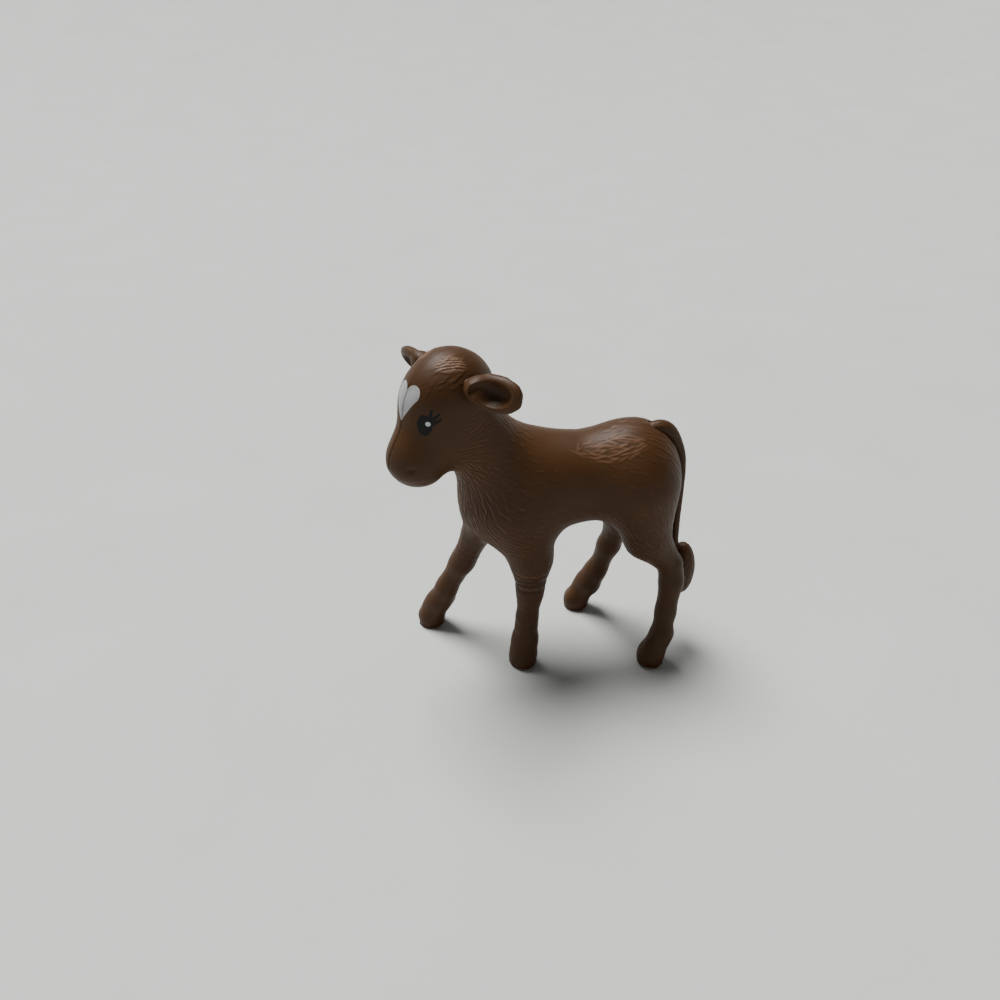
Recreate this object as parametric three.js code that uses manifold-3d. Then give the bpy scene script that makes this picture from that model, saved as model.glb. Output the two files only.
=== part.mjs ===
// Toy calf: a small hollow moulded figure of a standing calf that looks to its left.
// Millimetres, +Z up. The calf faces -X, its left side is -Y, and it stands on z = 0.
// Five pieces: two body halves that meet on a parting surface down the middle,
// two ears pressed into the skull, and a tail whose collar is trapped between the halves.

import * as THREE from "three";
import Module from "manifold-3d";
import { mergeVertices } from "three/addons/utils/BufferGeometryUtils.js";

const wasm = await Module();
wasm.setup();

// Trunk: four soft masses along the back, each with its place, height and radius.
const CHEST_X = -5.6;
const CHEST_HEIGHT = 42;
const CHEST_RADIUS = 10;
const BRISKET_X = -8.4;
const BRISKET_HEIGHT = 37;
const BRISKET_RADIUS = 7.5;
const BELLY_X = 2.5;
const BELLY_HEIGHT = 42.8;
const BELLY_RADIUS = 9.8;
const LOIN_X = 12.6;
const LOIN_HEIGHT = 42.9;
const LOIN_RADIUS = 8.7;
const RUMP_X = 18.2;
const RUMP_HEIGHT = 46.6;
const RUMP_RADIUS = 7.9;
const TRUNK_NARROWING = 0.94;

// Neck and head. The head turns about an upright line through the neck.
const NECK_BASE_X = -8.2;
const NECK_BASE_HEIGHT = 46.6;
const NECK_BASE_RADIUS = 8;
const NECK_TOP_BACK = 1.2;
const NECK_TOP_DROP = 5;
const NECK_TOP_RADIUS = 6.8;
const HEAD_PIVOT_X = -12;
const HEAD_TURN = THREE.MathUtils.degToRad(30);
const HEAD_REACH = 7.3;
const SKULL_HEIGHT = 63.9;
const SKULL_LENGTH = 17;
const SKULL_WIDTH = 15.6;
const SKULL_DEPTH = 17.4;
const BROW_AHEAD = 4.2;
const BROW_DROP = 1.2;
const BROW_RADIUS = 5.3;
const MUZZLE_AHEAD = 8.3;
const MUZZLE_DROP = 10.1;
const MUZZLE_LENGTH = 9.3;
const MUZZLE_WIDTH = 8.2;
const MUZZLE_DEPTH = 9.2;
const JAW_AHEAD = 1.6;
const JAW_DROP = 6.8;
const JAW_RADIUS = 5.9;
const CHIN_AHEAD = 6;
const CHIN_DROP = 12;
const CHIN_RADIUS = 3.8;
const BRIDGE_RADIUS = 3.95;

// Legs: joint heights and thicknesses that each pair shares.
const SHOULDER_HEIGHT = 38;
const ELBOW_HEIGHT = 27;
const KNEE_HEIGHT = 18.5;
const CANNON_HEIGHT = 11.5;
const FETLOCK_HEIGHT = 6.6;
const SHOULDER_RADIUS = 7.2;
const LEFT_ELBOW_RADIUS = 4.5;
const RIGHT_ELBOW_RADIUS = 3;
const KNEE_RADIUS = 2.8;
const CANNON_RADIUS = 2.3;
const FETLOCK_RADIUS = 2.7;
const HIP_HEIGHT = 42;
const STIFLE_HEIGHT = 30.5;
const GASKIN_HEIGHT = 23.8;
const HOCK_HEIGHT = 20;
const SHANK_HEIGHT = 12.5;
const PASTERN_HEIGHT = 7;
const HIP_RADIUS = 8.2;
const STIFLE_RADIUS = 4.7;
const GASKIN_RADIUS = 2.4;
const HOCK_RADIUS = 2.55;
const SHANK_RADIUS = 2.15;
const PASTERN_RADIUS = 2.4;
const HOOF_LENGTH = 6.2;
const HOOF_WIDTH = 5.8;
const HOOF_HEIGHT = 5.2;
const SOLE_CUT = 0.6;

// Stance: where each joint of each leg stands along the body, from the top joint down to the hoof,
// and how far out from the middle its top joint and its hoof are.
const LEFT_FORELEG_X = [-5.4, -3.0, -3.1, -3.8, -4.1, -4.6];
const RIGHT_FORELEG_X = [-8.5, -13.4, -16.5, -20.1, -22.1, -24];
const LEFT_HINDLEG_X = [18.8, 21, 26.5, 27, 26.1, 25.6, 23.4];
const RIGHT_HINDLEG_X = [18.8, 18.9, 17.8, 17, 15.3, 13.8, 11];
const SHOULDER_OUT = 3.6;
const LEFT_FOREHOOF_OUT = 7.2;
const RIGHT_FOREHOOF_OUT = 9;
const HIP_OUT = 3.4;
const HINDHOOF_OUT = 10.6;

// Ears: oval cups on the sides of the skull. Each sits on a round peg, turned its own way.
const EAR_AHEAD = 0.65;
const EAR_RISE = 3.85;
const EAR_LENGTH = 10.8;
const EAR_WIDTH = 6.6;
const EAR_THICKNESS = 3;
const LEFT_EAR_SWEEP = THREE.MathUtils.degToRad(20);
const LEFT_EAR_LIFT = THREE.MathUtils.degToRad(2);
const LEFT_EAR_ROLL = THREE.MathUtils.degToRad(14);
const RIGHT_EAR_SWEEP = THREE.MathUtils.degToRad(13);
const RIGHT_EAR_LIFT = THREE.MathUtils.degToRad(-15);
const RIGHT_EAR_ROLL = THREE.MathUtils.degToRad(-30);
const EAR_RIM = 0.9;
const EAR_HOLLOW = 1.9;
const EAR_ROOT_RADIUS = 2.1;
const EAR_ROOT_OUT = 1.2;
const EAR_PEG_RADIUS = 1.3;
const EAR_PEG_LENGTH = 3.6;

// Tail: a tapered switch that arches off the rump and hangs to a rounded tuft behind the left leg.
// The arch is given by angles round the rump and by how far the tail's line stands off it.
const TAIL_ROOT_X = 21.9;
const TAIL_ROOT_RADIUS = 1.6;
const TAIL_ROOT_SINK = 0.8;
const TAIL_RADIUS = 0.95;
const TAIL_ARCH = [
  [42, 0.4],
  [14, 0.5],
  [-10, 0.6],
];
const TUFT_RADIUS = 2.9;
const TUFT_LENGTH = 13.6;
const TUFT_HEIGHT = 18.5;
const TUFT_OUT = 1.5;
const TUFT_STANDOFF = 4.5;
const TUFT_FULLNESS = 0.05;
const TUFT_BACK = 2.3;
const TUFT_LEAN = THREE.MathUtils.degToRad(-4);
const TAIL_PEG_RADIUS = 1.2;
const TAIL_PEG_LENGTH = 4.6;
const TAIL_COLLAR_RADIUS = 2;
const TAIL_COLLAR_THICKNESS = 1;

// Construction: wall, joints between the halves, and running clearances.
const WALL = 1.8;
const PARTING_GAP = 0.3;
const PARTING_BEND = 4;
const PARTING_STEP = 2;
const THROAT_STEP = 1.4;
const SEAT_CLEARANCE = 0.3;
const PIN_RADIUS = 1.1;
const PIN_LENGTH = 3;
const BOSS_WALL = 1.2;
const SOCKET_FLOOR = 1;
const CHEST_PIN = [-7, 39];
const BELLY_PIN = [5, 42];
const RUMP_PIN = [16.5, 42];
const SKULL_PIN_DROP = 4;
const THROAT_HEIGHT = 50.5;
const THROAT_BLEND = 3;

// How softly the masses run into each other.
const TRUNK_BLEND = 6;
const NECK_BLEND = 5;
const FACE_BLEND = 3.4;
const LEG_BLEND = 1.4;
const LEG_ROOT_BLEND = 4.2;
const EAR_BLEND = 0.7;
const EAR_SEAT_BLEND = 0.5;

// Facet sizes of the skins.
const HEAD_CELL = 1.5;
const TRUNK_CELL = 2.1;
const LEG_CELL = 1.75;
const CAVITY_CELL = 3.2;
const EAR_CELL = 0.85;
const GRID_MARGIN = 4;
const JUST_INSIDE = 0.001;
const PROBE = 0.001;
const LEAST_STEEPNESS = 0.05;
const EVENING = 0.5;
const EVENING_ROUNDS = 4;
const TAIL_SIDES = 10;
const TAIL_RINGS = 26;
const TUFT_RINGS = 12;
const ROUND_SIDES = 18;

const CALF_BROWN = 0x6a4433;
const PLASTIC = { roughness: 0.45, metalness: 0 };

const v = (x, y, z) => new THREE.Vector3(x, y, z);

// Forms are fields: a function of a point that is negative inside, zero on the surface,
// with the box that holds the shape kept beside it.
function form(at, box) {
  at.box = box;
  return at;
}

function boxAround(centre, halfX, halfY, halfZ) {
  const half = v(halfX, halfY, halfZ);
  return new THREE.Box3(centre.clone().sub(half), centre.clone().add(half));
}

function ball(centre, radius, narrowing = 1) {
  const at = (p) => {
    const side = (p.y - centre.y) / narrowing;
    return Math.hypot(p.x - centre.x, side, p.z - centre.z) - radius;
  };
  return form(at, boxAround(centre, radius, radius, radius));
}

function egg(centre, halfX, halfY, halfZ) {
  const least = Math.min(halfX, halfY, halfZ);
  const at = (p) => {
    const x = (p.x - centre.x) / halfX;
    const y = (p.y - centre.y) / halfY;
    const z = (p.z - centre.z) / halfZ;
    const k = Math.hypot(x, y, z);
    const slope = Math.hypot(x / halfX, y / halfY, z / halfZ);
    return slope < 1e-9 ? -least : (k * (k - 1)) / slope;
  };
  return form(at, boxAround(centre, halfX, halfY, halfZ));
}

// A limb between two balls of different radii.
function taper(from, to, fromRadius, toRadius) {
  const axis = v().subVectors(to, from);
  const length = axis.length();
  axis.divideScalar(length);
  const slant = THREE.MathUtils.clamp((fromRadius - toRadius) / length, -0.99, 0.99);
  const cosine = Math.sqrt(1 - slant * slant);
  const at = (p) => {
    const dx = p.x - from.x;
    const dy = p.y - from.y;
    const dz = p.z - from.z;
    const along = dx * axis.x + dy * axis.y + dz * axis.z;
    const away = Math.sqrt(Math.max(dx * dx + dy * dy + dz * dz - along * along, 0));
    const foot = along - (away * slant) / cosine;
    if (foot <= 0) return Math.hypot(along, away) - fromRadius;
    if (foot >= length) return Math.hypot(along - length, away) - toRadius;
    return away * cosine + along * slant - fromRadius;
  };
  const ends = boxAround(from, fromRadius, fromRadius, fromRadius);
  return form(at, ends.union(boxAround(to, toRadius, toRadius, toRadius)));
}

function softMin(a, b, blend) {
  const h = Math.max(blend - Math.abs(a - b), 0) / blend;
  return Math.min(a, b) - (h * h * blend) / 4;
}

function blended(forms, blend) {
  const at = (p) => forms.reduce((d, part) => softMin(d, part(p), blend), Infinity);
  const box = forms.reduce((all, part) => all.union(part.box), new THREE.Box3());
  return form(at, box.clone().expandByScalar(blend / 4));
}

function carved(whole, tool, blend) {
  return form((p) => -softMin(-whole(p), tool(p), blend), whole.box);
}

function frameAt(origin, alongX, alongY, alongZ) {
  return new THREE.Matrix4().makeBasis(alongX, alongY, alongZ).setPosition(origin);
}

// Reads a form that is drawn in a frame of its own.
function placed(part, frame) {
  const inverse = frame.clone().invert();
  const local = v();
  const at = (p) => part(local.copy(p).applyMatrix4(inverse));
  return form(at, part.box.clone().applyMatrix4(frame));
}

// The head's own directions: level, but turned to the calf's left.
const UP = v(0, 0, 1);
const headAhead = v(-Math.cos(HEAD_TURN), -Math.sin(HEAD_TURN), 0);
const headLeft = v(Math.sin(HEAD_TURN), -Math.cos(HEAD_TURN), 0);
const skullCentre = v(HEAD_PIVOT_X, 0, SKULL_HEIGHT).addScaledVector(headAhead, HEAD_REACH);

function onHead(ahead, left, up) {
  const p = skullCentre.clone().addScaledVector(headAhead, ahead);
  return p.addScaledVector(headLeft, left).addScaledVector(UP, up);
}

function headForm() {
  const brow = v(BROW_AHEAD, 0, -BROW_DROP);
  const muzzle = v(MUZZLE_AHEAD, 0, -MUZZLE_DROP);
  const jaw = v(JAW_AHEAD, 0, -JAW_DROP);
  const skull = egg(v(0, 0, 0), SKULL_LENGTH / 2, SKULL_WIDTH / 2, SKULL_DEPTH / 2);
  const nose = egg(muzzle, MUZZLE_LENGTH / 2, MUZZLE_WIDTH / 2, MUZZLE_DEPTH / 2);
  const bridge = taper(brow, muzzle, BROW_RADIUS, BRIDGE_RADIUS);
  const chin = v(CHIN_AHEAD, 0, -CHIN_DROP);
  const cheeks = taper(jaw, chin, JAW_RADIUS, CHIN_RADIUS);
  const head = blended([skull, bridge, cheeks, nose], FACE_BLEND);
  return placed(head, frameAt(skullCentre, headAhead, headLeft, UP));
}

function trunkForm() {
  const masses = [
    [CHEST_X, CHEST_HEIGHT, CHEST_RADIUS],
    [BRISKET_X, BRISKET_HEIGHT, BRISKET_RADIUS],
    [BELLY_X, BELLY_HEIGHT, BELLY_RADIUS],
    [LOIN_X, LOIN_HEIGHT, LOIN_RADIUS],
    [RUMP_X, RUMP_HEIGHT, RUMP_RADIUS],
  ];
  const balls = masses.map(([x, z, radius]) => ball(v(x, 0, z), radius, TRUNK_NARROWING));
  return blended(balls, TRUNK_BLEND);
}

// Trunk, neck and head: everything that is hollow inside.
function coreForm() {
  const neckBase = v(NECK_BASE_X, 0, NECK_BASE_HEIGHT);
  const neckTop = onHead(-NECK_TOP_BACK, 0, -NECK_TOP_DROP);
  const neck = taper(neckBase, neckTop, NECK_BASE_RADIUS, NECK_TOP_RADIUS);
  return blended([blended([trunkForm(), neck], NECK_BLEND), headForm()], FACE_BLEND);
}

// One leg: tapers from joint to joint, then a hoof that spreads towards the floor.
function legForm(side, xs, heights, radii, topOut, hoofOut) {
  const halfHoof = (HOOF_HEIGHT + SOLE_CUT) / 2;
  const hoofMiddle = HOOF_HEIGHT - halfHoof;
  const zs = [...heights, hoofMiddle];
  const joints = zs.map((z, i) => {
    const drop = (zs[0] - z) / (zs[0] - hoofMiddle);
    return v(xs[i], side * THREE.MathUtils.lerp(topOut, hoofOut, drop), z);
  });
  const ends = [...radii, radii[radii.length - 1]];
  const limbs = radii.map((r, i) => taper(joints[i], joints[i + 1], r, ends[i + 1]));
  const hoof = egg(joints[radii.length], HOOF_LENGTH / 2, HOOF_WIDTH / 2, halfHoof);
  return blended([...limbs, hoof], LEG_BLEND);
}

function foreleg(side, xs, elbowRadius, hoofOut) {
  const heights = [SHOULDER_HEIGHT, ELBOW_HEIGHT, KNEE_HEIGHT, CANNON_HEIGHT, FETLOCK_HEIGHT];
  const radii = [SHOULDER_RADIUS, elbowRadius, KNEE_RADIUS, CANNON_RADIUS, FETLOCK_RADIUS];
  return legForm(side, xs, heights, radii, SHOULDER_OUT, hoofOut);
}

function hindleg(side, xs) {
  const heights = [HIP_HEIGHT, STIFLE_HEIGHT, GASKIN_HEIGHT, HOCK_HEIGHT, SHANK_HEIGHT];
  const radii = [HIP_RADIUS, STIFLE_RADIUS, GASKIN_RADIUS, HOCK_RADIUS, SHANK_RADIUS];
  heights.push(PASTERN_HEIGHT);
  radii.push(PASTERN_RADIUS);
  return legForm(side, xs, heights, radii, HIP_OUT, HINDHOOF_OUT);
}

const LEFT = -1;
const RIGHT = 1;
const core = coreForm();
const legs = [
  foreleg(LEFT, LEFT_FORELEG_X, LEFT_ELBOW_RADIUS, LEFT_FOREHOOF_OUT),
  foreleg(RIGHT, RIGHT_FORELEG_X, RIGHT_ELBOW_RADIUS, RIGHT_FOREHOOF_OUT),
  hindleg(LEFT, LEFT_HINDLEG_X),
  hindleg(RIGHT, RIGHT_HINDLEG_X),
];
const body = blended([core, ...legs], LEG_ROOT_BLEND);

// Skinning. The field is read on a grid, each cell that the surface crosses gets one point,
// the points are pulled onto the surface and evened out, and each crossed grid edge gets a facet.

function gridLines(low, high, stepAt) {
  const lines = [low];
  while (lines[lines.length - 1] < high) {
    const last = lines[lines.length - 1];
    lines.push(last + stepAt(last));
  }
  return lines;
}

function gridRound(part, stepX, stepY, stepZ) {
  const { min, max } = part.box.clone().expandByScalar(GRID_MARGIN);
  const xs = gridLines(min.x, max.x, stepX);
  const ys = gridLines(min.y, max.y, stepY);
  const zs = gridLines(min.z, max.z, stepZ);
  const strides = [1, xs.length, xs.length * ys.length];
  const node = (i, j, k) => i + j * strides[1] + k * strides[2];
  const place = (i, j, k) => v(xs[i], ys[j], zs[k]);
  const each = (first, end, visit) => {
    for (let k = first; k < zs.length - end; k++)
      for (let j = first; j < ys.length - end; j++)
        for (let i = first; i < xs.length - end; i++) visit(i, j, k);
  };
  const value = new Float64Array(strides[2] * zs.length);
  each(0, 0, (i, j, k) => {
    value[node(i, j, k)] = part(place(i, j, k));
  });
  return { strides, node, place, each, value };
}

// Where the corners of a grid face lie inside and outside by turns, one more is taken as inside,
// so that the skin never touches itself along an edge.
function settle({ strides, node, each, value }) {
  const pairs = [[0, 1], [1, 2], [0, 2]];
  let changed = true;
  while (changed) {
    changed = false;
    each(0, 1, (i, j, k) => {
      for (const [a, b] of pairs) {
        const n = node(i, j, k);
        const face = [n, n + strides[a], n + strides[a] + strides[b], n + strides[b]];
        const [s0, s1, s2, s3] = face.map((m) => value[m] < 0);
        if (s0 !== s2 || s1 !== s3 || s0 === s1) continue;
        const [p, q] = s0 ? [face[1], face[3]] : [face[0], face[2]];
        value[value[p] < value[q] ? p : q] = -JUST_INSIDE;
        changed = true;
      }
    });
  }
}

function pullOnto(part, p) {
  const d = part(p);
  const gx = (part(v(p.x + PROBE, p.y, p.z)) - d) / PROBE;
  const gy = (part(v(p.x, p.y + PROBE, p.z)) - d) / PROBE;
  const gz = (part(v(p.x, p.y, p.z + PROBE)) - d) / PROBE;
  const steepness = Math.max(gx * gx + gy * gy + gz * gz, LEAST_STEEPNESS);
  return p.addScaledVector(v(gx, gy, gz), -d / steepness);
}

const CORNERS = [0, 1, 2, 3, 4, 5, 6, 7].map((c) => [c & 1, (c >> 1) & 1, c >> 2]);
const EDGES = [1, 2, 4].flatMap((bit) =>
  CORNERS.flatMap((corner, c) => (c & bit ? [] : [[corner, CORNERS[c | bit]]])),
);

// The middle of the places where the surface crosses a cell's edges.
function cellPoint({ node, place, value }, i, j, k) {
  const middle = v(0, 0, 0);
  let crossings = 0;
  for (const [a, b] of EDGES) {
    const from = value[node(i + a[0], j + a[1], k + a[2])];
    const to = value[node(i + b[0], j + b[1], k + b[2])];
    if (from < 0 === to < 0) continue;
    const start = place(i + a[0], j + a[1], k + a[2]);
    const end = place(i + b[0], j + b[1], k + b[2]);
    middle.add(start.lerp(end, from / (from - to)));
    crossings += 1;
  }
  return crossings ? middle.divideScalar(crossings) : null;
}

function evenOut(part, points, quads) {
  const sums = points.map(() => v(0, 0, 0));
  const counts = points.map(() => 0);
  for (const ring of quads)
    ring.forEach((n, i) => {
      sums[n].add(points[ring[(i + 1) % 4]]).add(points[ring[(i + 3) % 4]]);
      counts[n] += 2;
    });
  points.forEach((p, n) => {
    p.lerp(sums[n].divideScalar(counts[n]), EVENING);
    pullOnto(part, pullOnto(part, p));
  });
}

function skin(part, stepX, stepY = stepX, stepZ = stepX) {
  const grid = gridRound(part, stepX, stepY, stepZ);
  settle(grid);
  const { node, each, value } = grid;
  const points = [];
  const pointOf = new Map();
  each(0, 1, (i, j, k) => {
    const point = cellPoint(grid, i, j, k);
    if (point) pointOf.set(node(i, j, k), points.push(point) - 1);
  });

  const quads = [];
  each(1, 1, (i, j, k) => {
    const inside = value[node(i, j, k)] < 0;
    const cell = (a, b, c) => pointOf.get(node(i - a, j - b, k - c));
    const quad = (a, b, c, d) => quads.push(inside ? [a, b, c, d] : [a, d, c, b]);
    if (inside !== value[node(i + 1, j, k)] < 0)
      quad(cell(0, 0, 0), cell(0, 1, 0), cell(0, 1, 1), cell(0, 0, 1));
    if (inside !== value[node(i, j + 1, k)] < 0)
      quad(cell(0, 0, 0), cell(0, 0, 1), cell(1, 0, 1), cell(1, 0, 0));
    if (inside !== value[node(i, j, k + 1)] < 0)
      quad(cell(0, 0, 0), cell(1, 0, 0), cell(1, 1, 0), cell(0, 1, 0));
  });
  for (let i = 0; i < EVENING_ROUNDS; i++) evenOut(part, points, quads);

  const triangles = quads.flatMap((ring) => {
    const [q0, q1, q2, q3] = ring.map((n) => points[n]);
    if (q0.distanceTo(q2) > q1.distanceTo(q3)) ring.push(ring.shift());
    return [ring[0], ring[1], ring[2], ring[0], ring[2], ring[3]];
  });
  const geometry = new THREE.BufferGeometry().setFromPoints(points);
  geometry.setIndex(triangles);
  return geometry;
}

// Solids that can be joined and cut, and back to geometry.

function solid(geometry) {
  const bare = geometry.clone();
  for (const name of ["normal", "uv"]) bare.deleteAttribute(name);
  const merged = mergeVertices(bare, 1e-4);
  const vertProperties = new Float32Array(merged.attributes.position.array);
  const triVerts = new Uint32Array(merged.index.array);
  return new wasm.Manifold(new wasm.Mesh({ numProp: 3, vertProperties, triVerts }));
}

function geometryOf(made) {
  const mesh = made.getMesh();
  const geometry = new THREE.BufferGeometry();
  geometry.setAttribute("position", new THREE.BufferAttribute(mesh.vertProperties, 3));
  geometry.setIndex(new THREE.BufferAttribute(mesh.triVerts, 1));
  geometry.computeVertexNormals();
  return geometry;
}

function rod(from, to, radius) {
  const axis = v().subVectors(to, from);
  const cylinder = new THREE.CylinderGeometry(radius, radius, axis.length(), ROUND_SIDES);
  cylinder.applyQuaternion(new THREE.Quaternion().setFromUnitVectors(v(0, 1, 0), axis.normalize()));
  const middle = v().addVectors(from, to).multiplyScalar(0.5);
  return solid(cylinder.translate(middle.x, middle.y, middle.z));
}

// Walks from a point inside a form until it is the given distance outside its surface.
function outFrom(part, origin, direction, distance) {
  const p = origin.clone();
  for (let i = 0; i < 400 && part(p) < distance; i++) p.addScaledVector(direction, 0.1);
  return p;
}

// The parting surface: upright down the middle of the trunk, and above the throat it bends
// with the head's turn. The block is all that lies on one side of it.
function partingY(x, z) {
  const ahead = HEAD_PIVOT_X - x;
  const reach = (ahead + Math.hypot(ahead, PARTING_BEND)) / 2;
  const low = THROAT_HEIGHT - THROAT_BLEND;
  const rise = THREE.MathUtils.smoothstep(z, low, THROAT_HEIGHT + THROAT_BLEND);
  return -Math.tan(HEAD_TURN) * reach * rise;
}

function partingBlock(side) {
  const box = body.box.clone().expandByScalar(GRID_MARGIN);
  const bendsAt = (x) => (x < HEAD_PIVOT_X + 2 * PARTING_BEND ? PARTING_STEP : box.max.x);
  const xs = gridLines(box.min.x, box.max.x, bendsAt);
  const low = THROAT_HEIGHT - THROAT_BLEND;
  const high = THROAT_HEIGHT + THROAT_BLEND;
  const zs = [box.min.z, ...gridLines(low, box.max.z, (z) => (z < high ? THROAT_STEP : box.max.z))];
  const far = side * (box.max.y - box.min.y);
  const points = [];
  for (const z of zs)
    for (const x of xs) {
      points.push(v(x, partingY(x, z) + (side * PARTING_GAP) / 2, z));
      points.push(v(x, far, z));
    }
  const near = (i, k) => 2 * (k * xs.length + i);
  const triangles = [];
  const quad = (a, b, c, d) => triangles.push(...(side > 0 ? [a, b, c, a, c, d] : [a, c, b, a, d, c]));
  const strip = (a, b) => quad(a, a + 1, b + 1, b);
  const [lastX, lastZ] = [xs.length - 1, zs.length - 1];
  for (let k = 0; k < lastZ; k++)
    for (let i = 0; i < lastX; i++) {
      const [a, b, c, d] = [near(i, k), near(i + 1, k), near(i + 1, k + 1), near(i, k + 1)];
      quad(a, b, c, d);
      quad(d + 1, c + 1, b + 1, a + 1);
    }
  for (let i = 0; i < lastX; i++) {
    strip(near(i, 0), near(i + 1, 0));
    strip(near(i + 1, lastZ), near(i, lastZ));
  }
  for (let k = 0; k < lastZ; k++) {
    strip(near(0, k + 1), near(0, k));
    strip(near(lastX, k), near(lastX, k + 1));
  }
  const geometry = new THREE.BufferGeometry().setFromPoints(points);
  geometry.setIndex(triangles);
  return solid(geometry);
}

// Ears. Each is drawn in its own frame: x out from its root, y towards the opening, z across.
// A round knob at the root touches the skull and carries the peg.
function earFrame(side) {
  const [sweep, lift, roll] =
    side === LEFT
      ? [LEFT_EAR_SWEEP, LEFT_EAR_LIFT, LEFT_EAR_ROLL]
      : [RIGHT_EAR_SWEEP, RIGHT_EAR_LIFT, RIGHT_EAR_ROLL];
  const sideways = headLeft.clone().multiplyScalar(-side);
  const out = sideways.clone().addScaledVector(headAhead, -Math.tan(sweep));
  out.normalize().addScaledVector(UP, Math.tan(lift)).normalize();
  const opening = headAhead.clone().addScaledVector(UP, Math.tan(roll));
  opening.addScaledVector(out, -opening.dot(out)).normalize();
  const root = outFrom(core, onHead(EAR_AHEAD, 0, EAR_RISE), sideways, 0);
  return frameAt(root, out, opening, v().crossVectors(out, opening));
}

function earRod(side, radius, extra) {
  const knob = v(EAR_ROOT_OUT, 0, 0).applyMatrix4(earFrame(side));
  const inward = headLeft.clone().multiplyScalar(side);
  const length = EAR_ROOT_OUT + EAR_PEG_LENGTH + extra;
  return rod(knob, knob.clone().addScaledVector(inward, length), radius);
}

function earLeaf() {
  const half = EAR_THICKNESS / 2;
  const middle = v(EAR_LENGTH * 0.467, 0, 0);
  const end = v(EAR_LENGTH * 0.644, 0, 0);
  const masses = [
    egg(middle, EAR_LENGTH * 0.5, half, EAR_WIDTH / 2),
    egg(end, EAR_LENGTH * 0.356, half * 0.7, EAR_WIDTH * 0.44),
    ball(v(EAR_ROOT_OUT, 0, 0), EAR_ROOT_RADIUS),
  ];
  return blended(masses, EAR_BLEND);
}

function earHollow() {
  const bowl = new THREE.SphereGeometry(1, ROUND_SIDES, ROUND_SIDES / 2);
  bowl.scale(EAR_LENGTH * 0.467 - EAR_RIM, EAR_HOLLOW, EAR_WIDTH / 2 - EAR_RIM);
  return bowl.translate(EAR_LENGTH / 2, EAR_THICKNESS * 0.6, 0);
}

function ear(side) {
  const frame = earFrame(side);
  const skull = form((p) => core(p) - SEAT_CLEARANCE, core.box);
  const seated = carved(placed(earLeaf(), frame), skull, EAR_SEAT_BLEND);
  const leaf = solid(skin(seated, () => EAR_CELL));
  const cup = leaf.subtract(solid(earHollow().applyMatrix4(frame)));
  return cup.add(earRod(side, EAR_PEG_RADIUS, 0));
}

// Tail. Its line starts at the peg inside the rump, comes out half sunk in the rump's top,
// arches over and hangs to the tuft, which stands clear behind the left hock.
function tuftPlace() {
  const hock = v(LEFT_HINDLEG_X[3], LEFT * TUFT_OUT, TUFT_HEIGHT);
  return outFrom(legs[2], hock, v(1, 0, 0), TUFT_STANDOFF);
}

function tailPeg() {
  const root = outFrom(body, v(TAIL_ROOT_X, 0, RUMP_HEIGHT), UP, -TAIL_ROOT_SINK);
  const inward = v(-2, 0, -1).normalize();
  return { root, inward, end: root.clone().addScaledVector(inward, TAIL_PEG_LENGTH) };
}

function tailTube(extra) {
  const rump = v(RUMP_X, 0, RUMP_HEIGHT);
  const arch = TAIL_ARCH.map(([degrees, standoff]) => {
    const angle = THREE.MathUtils.degToRad(degrees);
    return outFrom(body, rump, v(Math.cos(angle), 0, Math.sin(angle)), standoff);
  });
  const peg = tailPeg();
  const tuft = tuftPlace();
  const tuftTop = tuft.clone().add(v(-TUFT_BACK, 0, TUFT_LENGTH * 0.4));
  const line = new THREE.CatmullRomCurve3([peg.end, peg.root, ...arch, tuftTop, tuft]);
  const thick = THREE.MathUtils.lerp(TAIL_ROOT_RADIUS, TAIL_RADIUS, 0.6);
  const radii = [TAIL_PEG_RADIUS, TAIL_ROOT_RADIUS, TAIL_ROOT_RADIUS, thick, TAIL_RADIUS];
  radii.push(TAIL_RADIUS, TAIL_RADIUS);
  const thickness = new THREE.CatmullRomCurve3(radii.map((r) => v(r + extra, 0, 0)));
  return loft(line, (t) => thickness.getPoint(t).x, TAIL_RINGS, TAIL_SIDES);
}

// A tube of changing thickness along a line that stays near one upright plane.
function loft(line, radiusAt, rings, sides) {
  const points = [line.getPoint(0)];
  for (let i = 0; i <= rings; i++) {
    const centre = line.getPoint(i / rings);
    const along = line.getTangent(i / rings);
    const across = v(0, 1, 0).addScaledVector(along, -along.y).normalize();
    const third = v().crossVectors(along, across);
    const radius = radiusAt(i / rings);
    for (let j = 0; j < sides; j++) {
      const angle = (2 * Math.PI * j) / sides;
      const p = centre.clone().addScaledVector(across, radius * Math.cos(angle));
      points.push(p.addScaledVector(third, radius * Math.sin(angle)));
    }
  }
  points.push(line.getPoint(1));
  const last = points.length - 1;
  const at = (i, j) => 1 + i * sides + (j % sides);
  const triangles = [];
  for (let j = 0; j < sides; j++) {
    triangles.push(0, at(0, j + 1), at(0, j), last, at(rings, j), at(rings, j + 1));
    for (let i = 0; i < rings; i++) {
      triangles.push(at(i, j), at(i, j + 1), at(i + 1, j + 1));
      triangles.push(at(i, j), at(i + 1, j + 1), at(i + 1, j));
    }
  }
  const geometry = new THREE.BufferGeometry().setFromPoints(points);
  geometry.setIndex(triangles);
  return solid(geometry);
}

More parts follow.
